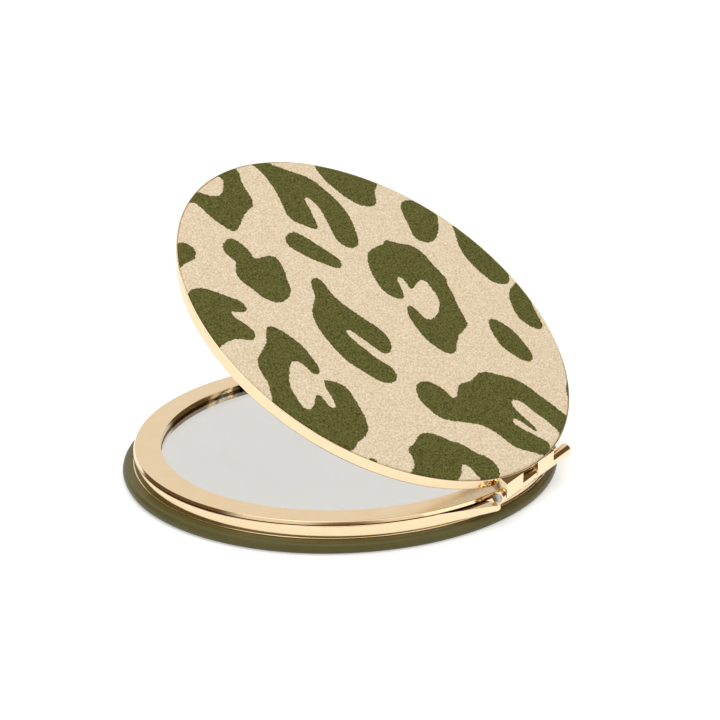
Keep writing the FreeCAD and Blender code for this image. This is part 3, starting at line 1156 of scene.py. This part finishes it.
LEOPARD = (
    # Four-pronged spot at the hinge
    Spot(((-14.6, 31.0), (-14.2, 32.6), (-11.5, 34.6), (-8.4, 34.8), (-9.7, 32.8), (-9.7, 30.5),
          (-9.1, 28.0), (-8.7, 25.6), (-7.9, 24.5), (-7.0, 24.3), (-6.2, 25.2), (-6.0, 27.0), (-6.2, 29.6),
          (-5.9, 30.7), (-5.3, 30.3), (-4.7, 28.3), (-4.2, 27.3), (-3.6, 27.0), (-3.1, 27.4), (-3.2, 28.4),
          (-4.2, 30.5), (-5.3, 32.4), (-5.6, 33.4), (-5.0, 34.3), (-3.6, 34.8), (-2.0, 34.5), (-1.0, 33.5),
          (0.8, 31.8), (1.7, 30.3), (2.1, 27.8), (3.2, 25.4), (5.5, 23.5), (8.0, 21.9), (9.4, 20.5),
          (9.9, 18.5), (9.8, 16.3), (8.7, 14.5), (7.0, 13.7), (5.2, 14.1), (3.9, 15.6), (3.5, 17.4),
          (3.5, 18.7), (2.5, 18.8), (0.8, 17.9), (-0.8, 17.4), (-3.2, 17.8), (-6.2, 17.4), (-8.2, 18.1),
          (-10.2, 19.8), (-11.8, 21.2), (-13.0, 23.4), (-13.6, 26.3))),
    # Sliver at the rim
    Spot(((-22.5, 26.4), (-21.0, 27.0), (-19.6, 27.9), (-18.6, 29.0), (-17.7, 29.9), (-19.0, 31.5),
          (-22.0, 29.0))),
    # Upright oval
    Spot(((-19.0, 20.3), (-17.6, 19.5), (-16.7, 17.5), (-16.3, 15.5), (-16.8, 13.8), (-17.8, 11.8),
          (-19.1, 10.6), (-20.2, 10.5), (-21.3, 11.7), (-21.9, 14.3), (-21.5, 17.0), (-20.6, 19.4))),
    # Leaning oval at the rim
    Spot(((-28.0, 16.3), (-26.8, 15.6), (-26.1, 14.0), (-26.0, 12.6), (-26.8, 10.8), (-28.4, 8.8),
          (-30.0, 7.7), (-31.8, 7.2), (-33.6, 7.0), (-33.3, 8.6), (-32.6, 10.6), (-31.4, 12.3),
          (-30.3, 14.2), (-29.2, 15.9))),
    # Tall half oval at the rim
    Spot(((-31.0, 6.3), (-29.5, 5.7), (-28.5, 4.6), (-28.2, 2.8), (-28.2, 0.0), (-28.9, -2.5),
          (-30.3, -4.7), (-31.8, -6.3), (-33.2, -7.8), (-35.0, -6.0), (-35.4, -1.0), (-34.9, 3.2),
          (-33.9, 4.7), (-32.5, 6.0))),
    # Egg at the rim
    Spot(((-24.8, -6.8), (-23.4, -7.3), (-22.5, -8.5), (-22.7, -9.7), (-24.2, -12.0), (-25.6, -14.3),
          (-27.2, -15.7), (-29.0, -15.9), (-30.4, -15.2), (-31.6, -13.0), (-32.1, -11.0), (-31.0, -9.7),
          (-28.8, -8.1), (-26.4, -7.0))),
    # Half round at the rim
    Spot(((-26.3, -20.7), (-24.8, -20.1), (-23.3, -18.7), (-22.2, -17.8), (-20.9, -17.6), (-19.2, -18.2),
          (-18.0, -19.5), (-17.3, -21.5), (-16.9, -25.0), (-17.4, -27.6), (-18.2, -29.3), (-20.0, -30.5),
          (-25.5, -27.0), (-27.6, -22.0))),
    # Large open ring
    Spot(((-5.2, 12.3), (-4.1, 11.6), (-3.4, 10.0), (-3.1, 8.0), (-3.5, 5.6), (-4.4, 3.2), (-5.4, 1.9),
          (-6.4, 1.4), (-7.1, 1.8), (-7.2, 3.2), (-7.2, 4.6), (-8.0, 5.3), (-9.2, 5.3), (-11.2, 4.7),
          (-13.0, 3.7), (-14.3, 1.9), (-14.8, 0.0), (-15.1, -0.8), (-14.3, -1.6), (-12.6, -1.3),
          (-10.9, -0.9), (-10.5, -1.3), (-10.8, -2.4), (-11.0, -3.3), (-10.5, -3.9), (-9.8, -3.6),
          (-8.9, -2.1), (-8.0, -0.8), (-7.0, -0.2), (-5.8, -0.7), (-5.0, -2.0), (-4.9, -3.6), (-6.0, -6.3),
          (-7.4, -8.4), (-9.0, -9.8), (-11.0, -10.5), (-14.4, -10.5), (-15.8, -10.9), (-16.8, -10.3),
          (-17.9, -9.3), (-19.8, -8.0), (-20.6, -5.8), (-20.1, -3.0), (-19.7, 0.2), (-18.7, 1.3),
          (-17.7, 3.4), (-16.2, 5.6), (-14.8, 8.4), (-13.6, 9.5), (-10.2, 10.2), (-8.2, 11.1),
          (-6.6, 12.1))),
    # Two-legged spot in the middle
    Spot(((11.2, 11.5), (12.7, 11.0), (13.8, 9.6), (14.6, 7.5), (15.4, 4.8), (15.5, 2.5), (15.0, -0.5),
          (14.2, -3.0), (13.0, -5.0), (11.2, -6.4), (9.1, -7.6), (7.9, -9.2), (6.9, -10.2), (5.8, -10.6),
          (4.9, -10.2), (4.8, -9.2), (5.3, -7.2), (5.5, -5.5), (5.1, -3.0), (4.4, -0.4), (3.6, 2.2),
          (3.5, 3.9), (4.2, 5.5), (5.5, 6.6), (6.9, 6.8), (7.7, 6.2), (8.1, 4.8), (8.6, 2.5), (9.1, 0.6),
          (9.6, 0.0), (10.2, 0.4), (10.4, 1.8), (10.1, 4.2), (9.7, 6.6), (9.0, 8.4), (8.8, 9.4),
          (9.3, 10.7), (10.1, 11.3))),
    # Notched spot beside the hinge
    Spot(((8.4, 32.2), (8.2, 30.9), (8.6, 29.6), (9.5, 28.6), (10.0, 27.3), (10.7, 25.7), (11.8, 24.7),
          (12.9, 23.1), (14.0, 21.8), (15.4, 21.1), (17.0, 21.1), (18.8, 21.8), (20.2, 21.8), (21.1, 22.3),
          (21.8, 23.8), (23.0, 24.9), (24.8, 25.4), (26.5, 26.5), (20.8, 32.0), (17.7, 30.4), (16.2, 30.0),
          (14.9, 29.1), (14.2, 28.8), (13.6, 29.2), (13.4, 30.4), (13.6, 31.7), (13.4, 32.8), (12.0, 33.4),
          (10.4, 33.8), (9.2, 33.2))),
    # Speck at the rim
    Spot(((28.1, 21.0), (28.7, 21.0), (29.6, 20.3), (28.9, 20.0), (28.3, 20.4))),
    # Large forked spot at the rim
    Spot(((24.2, 16.0), (25.6, 16.6), (28.0, 16.9), (30.8, 17.4), (34.0, 15.0), (36.0, 9.5), (36.6, 4.5),
          (35.2, 4.2), (33.8, 2.6), (32.7, 1.2), (32.2, -0.4), (31.5, -1.8), (30.2, -2.9), (27.8, -3.9),
          (25.8, -4.8), (24.1, -6.3), (23.0, -6.8), (22.0, -6.4), (21.2, -4.8), (20.5, -1.8), (20.7, 0.2),
          (21.4, 2.8), (22.2, 3.9), (23.1, 4.1), (23.7, 3.5), (23.7, 2.2), (24.0, 0.9), (24.8, 0.3),
          (25.8, 0.5), (28.0, 2.0), (29.8, 3.8), (30.6, 5.6), (31.1, 7.8), (30.4, 8.4), (29.2, 8.2),
          (27.4, 7.2), (26.5, 7.0), (26.3, 7.8), (26.6, 9.2), (26.3, 10.1), (25.6, 10.1), (24.8, 8.8),
          (24.0, 6.7), (23.2, 5.7), (22.4, 5.8), (20.8, 7.4), (20.5, 8.8), (21.2, 11.0), (22.3, 13.6),
          (23.1, 14.9))),
    # Notched spot at the rim
    Spot(((27.8, -6.0), (29.0, -6.6), (30.4, -7.4), (32.0, -7.7), (34.8, -7.6), (36.5, -8.0),
          (35.0, -14.5), (32.6, -17.6), (31.1, -17.6), (30.2, -18.1), (28.8, -18.3), (27.2, -17.8),
          (25.9, -16.6), (24.2, -14.4), (23.2, -13.2), (22.9, -12.2), (23.3, -11.2), (24.2, -10.8),
          (25.4, -11.3), (26.3, -11.8), (26.8, -11.3), (26.7, -10.2), (26.2, -8.6), (26.2, -7.2),
          (26.8, -6.3))),
    # Small spot at the rim
    Spot(((22.2, -23.3), (23.5, -22.7), (25.2, -22.8), (27.4, -22.6), (28.6, -23.8), (24.5, -27.8),
          (23.0, -26.7), (22.0, -26.3), (21.3, -25.2), (21.4, -24.2))),
    # Mushroom
    Spot(((15.2, -9.4), (16.8, -9.7), (17.9, -10.6), (18.5, -12.0), (18.7, -13.8), (19.1, -15.4),
          (18.9, -16.9), (17.9, -18.1), (16.8, -19.0), (16.5, -19.9), (16.7, -21.2), (16.0, -22.6),
          (14.6, -23.3), (12.8, -23.3), (12.1, -21.9), (12.0, -20.3), (12.5, -18.7), (12.2, -18.1),
          (10.4, -17.9), (9.0, -17.4), (8.5, -16.6), (8.9, -15.3), (9.6, -14.0), (10.8, -12.4),
          (11.9, -10.8), (13.3, -9.8))),
    # Slender drop
    Spot(((-1.2, -10.1), (-0.2, -10.7), (1.2, -12.4), (2.6, -14.4), (3.6, -16.6), (3.9, -17.8),
          (3.3, -18.9), (2.2, -19.5), (1.0, -19.7), (-0.2, -19.3), (-1.0, -17.8), (-2.0, -14.8),
          (-2.8, -11.9), (-2.4, -10.7))),
    # Two-legged spot at the front rim
    Spot(((-8.2, -12.2), (-7.0, -12.7), (-6.4, -13.8), (-6.6, -15.4), (-7.9, -17.7), (-9.2, -20.2),
          (-9.8, -21.9), (-9.9, -23.5), (-9.4, -24.3), (-8.7, -24.0), (-7.9, -22.4), (-6.5, -20.0),
          (-5.6, -18.6), (-4.9, -18.2), (-4.0, -18.7), (-3.0, -20.1), (-2.1, -21.3), (-2.1, -22.8),
          (-3.4, -25.0), (-4.8, -27.5), (-5.7, -30.0), (-6.2, -32.8), (-6.0, -35.5), (-9.0, -35.0),
          (-9.8, -32.8), (-11.2, -31.0), (-13.2, -28.8), (-14.5, -26.8), (-14.9, -23.0), (-14.6, -20.0),
          (-13.8, -17.6), (-12.3, -15.2), (-10.6, -13.2), (-9.4, -12.4))),
    # Arched spot at the front rim
    Spot(((10.4, -24.2), (11.3, -24.5), (11.8, -25.8), (12.3, -28.0), (12.3, -30.8), (12.6, -31.9),
          (14.0, -33.0), (10.6, -34.4), (9.4, -33.1), (8.2, -31.9), (6.6, -31.3), (5.2, -31.7),
          (3.8, -32.7), (2.8, -33.5), (2.5, -35.5), (-1.5, -35.6), (-1.9, -34.0), (-1.2, -32.9),
          (-0.2, -31.6), (0.7, -29.4), (1.6, -27.7), (3.0, -26.8), (5.0, -26.4), (7.2, -25.5),
          (9.2, -24.6))),
)


@dataclass
class SuedeInlay:
    """Printed suede drawn over a thin crowned foam and rolled down to the lid's plate."""

    radius: float = 34.82
    seat: float = 7.55
    edge: float = 0.42
    crown: float = 0.33
    roll: float = 0.35
    roll_steps: int = 5
    cloth: float = 0.2
    rings: int = 104
    inner_rings: int = 16
    steps: int = 448
    sharp: float = 50.0
    far: float = 3.0
    print_turn: float = -1.2
    print_shift: Point = (-0.52, -0.01)
    spots: tuple[Spot, ...] = LEOPARD

    def dome(self, span: float, base: float, rings: int) -> list[Corner]:
        """Profile of a shallow dome from its middle to its foot.

        Args:
            span: Radius of the dome's foot in mm.
            base: Height of the dome's foot in mm.
            rings: Rings of facets in it.

        Returns:
            Profile corners, all sharp.
        """
        ball = (span ** 2 + self.crown ** 2) / (2 * self.crown)
        outs = [span * i / rings for i in range(rings + 1)]
        return [(out, base + self.crown - ball + math.sqrt(ball ** 2 - out ** 2), 0) for out in outs]

    def build(self) -> None:
        """Build the crowned cloth, print it and put it in place."""
        shoulder = self.radius - self.roll
        inner = self.radius - self.cloth
        top = self.seat + self.edge
        profile = self.dome(shoulder, top, self.rings)
        for step in range(1, self.roll_steps + 1):
            angle = math.radians(90 * step / self.roll_steps)
            out = shoulder + self.roll * math.sin(angle)
            profile.append((out, top - self.roll * (1 - math.cos(angle)), 0))
        profile += [(self.radius, self.seat, 0), (inner, self.seat, 0)]
        profile += reversed(self.dome(inner, top - self.cloth, self.inner_rings))
        inlay = turned("printed_suede_inlay", profile, steps=self.steps)
        self.print_on(inlay)
        settle(inlay, Body.LID, "lid_print_inlay", Finishes.SUEDE, self.sharp)

    def print_on(self, inlay: Piece) -> None:
        """Store at each point of the cloth how deep it lies inside the nearest printed spot.

        Args:
            inlay: The cloth, on the closed lid.
        """
        mesh = inlay.data
        places = np.zeros(len(mesh.vertices) * 3, np.float32)
        mesh.vertices.foreach_get("co", places)
        places = places.reshape(-1, 3)[:, :2].astype(float) / MM - self.print_shift
        turn = math.radians(self.print_turn)
        places = places @ np.array(((math.cos(turn), -math.sin(turn)), (math.sin(turn), math.cos(turn))))
        depth = np.full(len(places), -self.far)
        for spot in self.spots:
            low = np.min(spot.outline, axis=0) - self.far
            high = np.max(spot.outline, axis=0) + self.far
            near = np.all((places > low) & (places < high), axis=1)
            depth[near] = np.maximum(depth[near], spot.depth(places[near]))
        stored = mesh.attributes.new(Finishes.SUEDE.depth_attribute, "FLOAT", "POINT")
        stored.data.foreach_set("value", np.clip(depth, -self.far, self.far).astype(np.float32))
        LOG.info("printed %d spots on %d points", len(self.spots), len(places))


@dataclass
class LeatherCover:
    """Olive leather wrapped round a thin padded board, its margin turned in on top."""

    outside: float = 35.55
    inside: float = 34.1
    top: float = 1.9
    margin_under: float = 1.65
    margin_inside: float = 27.1
    sheet: float = 0.65
    side_round: float = 0.93
    side_facets: int = 14
    sharp: float = 45.0
    off_centre: Point = (0.7, -0.15)
    # The side is drawn in by the creep at each of these angles in degrees, fading out over a reach in mm.
    creep: float = 0.04
    creep_spot: float = 0.5
    creeps: tuple[Point, ...] = ((40, 9), (115, 14), (190, 11), (262, 15), (318, 8))

    def build(self) -> None:
        """Turn the leather cup with a round side, let it waver, draw it off centre and settle it."""
        cover = turned("olive_leather_cover", [
            (0, self.sheet, 0), (0, 0, 0), (self.outside, 0, self.side_round),
            (self.outside, self.top, self.side_round), (self.margin_inside, self.top, 0),
            (self.margin_inside, self.margin_under, 0), (self.inside, self.margin_under, 0),
            (self.inside, self.sheet, 0)], segments=self.side_facets)
        self.waver(cover)
        side = (self.inside + self.outside - self.side_round) / 2
        move(cover, lambda place: place.xy.length > side * MM, Vector((*self.off_centre, 0)))
        settle(cover, Body.BASE, "base_leather_cover", Finishes.LEATHER, self.sharp)

    def waver(self, cover: Piece) -> None:
        """Draw the rounded side in by a hair here and there, as hand-wrapped leather lies.

        Args:
            cover: The turned cover.
        """
        for turn, reach in self.creeps:
            angle = math.radians(turn)
            middle = Vector((math.cos(angle), math.sin(angle), 0)) * self.outside * MM
            middle.z = self.top * MM / 2
            move(cover, lambda place: (place - middle).length < self.creep_spot * MM,
                 -middle.normalized() * self.creep, use_proportional_edit=True, proportional_size=reach * MM,
                 proportional_edit_falloff="SMOOTH", use_proportional_connected=True)


@dataclass
class InnerPieces:
    """Hidden CAD pieces that keep their shape and get their finish."""

    finishes: tuple[tuple[str, Finish], ...] = (
        ("base_mirror_silver_film", Finishes.SILVER), ("lid_mirror_silver_film", Finishes.SILVER),
        ("base_mirror_tape", Finishes.TAPE), ("lid_mirror_tape", Finishes.TAPE),
        ("base_cover_tape", Finishes.TAPE), ("lid_inlay_glue", Finishes.TAPE),
        ("base_cover_pad", Finishes.FOAM), ("lid_inlay_foam", Finishes.FOAM),
        ("base_cover_board", Finishes.BOARD),
        ("base_closure_magnet", Finishes.MAGNET), ("lid_closure_magnet", Finishes.MAGNET))

    def dress(self) -> None:
        """Assign each hidden piece its finish."""
        for node, finish in self.finishes:
            finish.put_on(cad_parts[node])
            LOG.info("%s keeps its CAD shape, finished in %s", node, finish.name)


# Studio


@dataclass(frozen=True)
class DarkCard:
    """Dark card beside the table, as the compact sees it: which way it stands, and its reach in degrees."""

    way: tuple[float, float, float]
    core: float
    edge: float

    def cover(self, tree: Tree, way: Socket) -> Socket:
        """How much of the card a ray meets.

        Args:
            tree: Node tree of the world.
            way: Direction of the ray.

        Returns:
            Socket that is 1 within the core angle and fades to 0 at the edge angle.
        """
        facing = add(tree, "ShaderNodeVectorMath", {
            0: way, 1: Vector(self.way).normalized()}, operation="DOT_PRODUCT")
        faded = add(tree, "ShaderNodeMapRange", {
            "Value": facing.outputs["Value"], "From Min": math.cos(math.radians(self.edge)),
            "From Max": math.cos(math.radians(self.core))}, interpolation_type="SMOOTHSTEP")
        return faded.outputs["Result"]


@dataclass
class Studio:
    """White table, overhead soft box, side fill and the room that the metal reflects; metres and watts."""

    floor_size: float = 6.0
    floor_drop: float = 0.02 * MM
    floor_colour: str = "#E7E7E7"
    floor_lift: float = 0.45
    key_size: float = 0.9
    key_power: float = 4.2
    key_place: tuple[float, float, float] = (0.12, 0.1, 0.8)
    fill_size: float = 0.6
    fill_power: float = 0.5
    fill_place: tuple[float, float, float] = (-0.1, 0.75, 0.45)
    ambient: float = 0.5
    backdrop_colour: str = "#FFFFFF"
    room_colour: str = "#F6F0EA"
    dark_colour: str = "#6A5438"
    cards: tuple[DarkCard, ...] = (
        DarkCard((0.82, 0.54, 0.22), core=17, edge=30), DarkCard((0.36, -0.88, 0.26), core=27, edge=44),
        DarkCard((-0.815, 0.467, 0.343), core=18, edge=31))

    def shown(self, tree: Tree) -> Socket:
        """Light-path factor: 1 for what the camera, reflections and glass see directly.

        Args:
            tree: Node tree to add to.

        Returns:
            The factor's socket.
        """
        rays = add(tree, "ShaderNodeLightPath").outputs
        direct = add(tree, "ShaderNodeMath", {
            0: rays["Is Camera Ray"], 1: rays["Is Glossy Ray"]}, operation="ADD")
        through = add(tree, "ShaderNodeMath", {
            0: direct.outputs[0], 1: rays["Is Transmission Ray"]}, operation="ADD", use_clamp=True)
        return through.outputs[0]

    def build_floor(self) -> None:
        """Lay the white table; it stays white to the eye and keeps the compact's shadow."""
        clear_selection()
        bpy.ops.mesh.primitive_plane_add(size=self.floor_size, location=(0, 0, -self.floor_drop))
        floor = bpy.context.object
        floor.name = "white_table"
        material = bpy.data.materials.new("matt_white_table")
        tree = fresh_tree(material)
        matt = add(tree, "ShaderNodeBsdfDiffuse", {"Color": linear(self.floor_colour)})
        lift = add(tree, "ShaderNodeEmission", {"Strength": self.floor_lift})
        lifted = add(tree, "ShaderNodeAddShader", {0: matt.outputs[0], 1: lift.outputs[0]})
        mixed = add(tree, "ShaderNodeMixShader", {
            0: self.shown(tree), 1: matt.outputs[0], 2: lifted.outputs[0]})
        add(tree, "ShaderNodeOutputMaterial", {"Surface": mixed.outputs[0]})
        floor.data.materials.append(material)

    def build_world(self) -> None:
        """Fill the room with soft white and stand dark cards round the table, for dark lines on metal."""
        world = bpy.data.worlds.new("white_studio")
        bpy.context.scene.world = world
        tree = fresh_tree(world)
        way = add(tree, "ShaderNodeTexCoord").outputs["Generated"]
        dark, *others = [card.cover(tree, way) for card in self.cards]
        for other in others:
            dark = add(tree, "ShaderNodeMath", {0: dark, 1: other}, operation="MAXIMUM").outputs[0]
        room = add(tree, "ShaderNodeMix", {
            "Factor": dark, "A": linear(self.room_colour), "B": linear(self.dark_colour)}, data_type="RGBA")
        path = add(tree, "ShaderNodeLightPath")
        seen = add(tree, "ShaderNodeMix", {
            "Factor": path.outputs["Is Camera Ray"], "A": room.outputs["Result"],
            "B": linear(self.backdrop_colour)}, data_type="RGBA")
        light = add(tree, "ShaderNodeMix", {
            "Factor": self.shown(tree), "A": (self.ambient, self.ambient, self.ambient, 1),
            "B": seen.outputs["Result"]}, data_type="RGBA")
        sky = add(tree, "ShaderNodeBackground", {"Color": light.outputs["Result"]})
        add(tree, "ShaderNodeOutputWorld", {"Surface": sky.outputs[0]})

    def build_light(self, name: str, size: float, power: float, place: Vector) -> None:
        """Hang one square soft box that faces the compact.

        Args:
            name: Name of the light.
            size: Side in metres.
            power: Power in watts.
            place: Where it hangs, in metres.
        """
        lamp = bpy.data.lights.new(name, "AREA")
        lamp.size = size
        lamp.energy = power
        light = bpy.data.objects.new(name, lamp)
        light.location = place
        light.rotation_mode = "QUATERNION"
        light.rotation_quaternion = (-place).to_track_quat("-Z", "Y")
        bpy.context.scene.collection.objects.link(light)

    def build(self) -> None:
        """Build the table, the room and the lights."""
        bpy.context.scene.view_settings.view_transform = "Standard"
        self.build_floor()
        self.build_world()
        self.build_light("overhead_soft_box", self.key_size, self.key_power, Vector(self.key_place))
        self.build_light("side_fill", self.fill_size, self.fill_power, Vector(self.fill_place))


@dataclass
class PhotoCamera:
    """Camera at the photograph's angle, in mm and degrees."""

    azimuth: float = 122.72
    elevation: float = 21.18
    roll: float = -1.65
    distance: float = 458.23
    target: tuple[float, float, float] = (-2.525, 2.195, 17.499)
    focal_pixels: float = 2825.1
    image_pixels: float = 720.0
    sensor: float = 36.0
    nearest: float = 10.0

    def build(self) -> None:
        """Make the camera and set it as the scene's own."""
        turn, rise, tilt = (math.radians(a) for a in (self.azimuth, self.elevation, self.roll))
        back = Vector((math.sin(turn) * math.cos(rise), -math.cos(turn) * math.cos(rise), math.sin(rise)))
        level = Vector((math.cos(turn), math.sin(turn), 0))
        upward = back.cross(level)
        right = math.cos(tilt) * level + math.sin(tilt) * upward
        up = math.cos(tilt) * upward - math.sin(tilt) * level
        lens = bpy.data.cameras.new("photo_camera")
        lens.sensor_width = self.sensor
        lens.lens = self.focal_pixels / self.image_pixels * self.sensor
        lens.clip_start = self.nearest * MM
        camera = bpy.data.objects.new("photo_camera", lens)
        camera.matrix_world = (Matrix.Translation((Vector(self.target) + back * self.distance) * MM)
                               @ Matrix((right, up, back)).transposed().to_4x4())
        bpy.context.scene.collection.objects.link(camera)
        bpy.context.scene.camera = camera


def main() -> None:
    """Build the compact piece by piece, then the studio and the camera."""
    BaseMetal().build()
    LidMetal().build()
    HingePin().build()
    Mirror("base_mirror_pane", Body.BASE, "base_mirror_glass", front=3.9, back=2.88).build()
    Mirror("lid_mirror_pane", Body.LID, "lid_mirror_glass", front=5.45, back=6.47).build()
    SuedeInlay().build()
    LeatherCover().build()
    InnerPieces().dress()
    Studio().build()
    PhotoCamera().build()
    clear_selection()


if __name__ == "__main__":
    main()
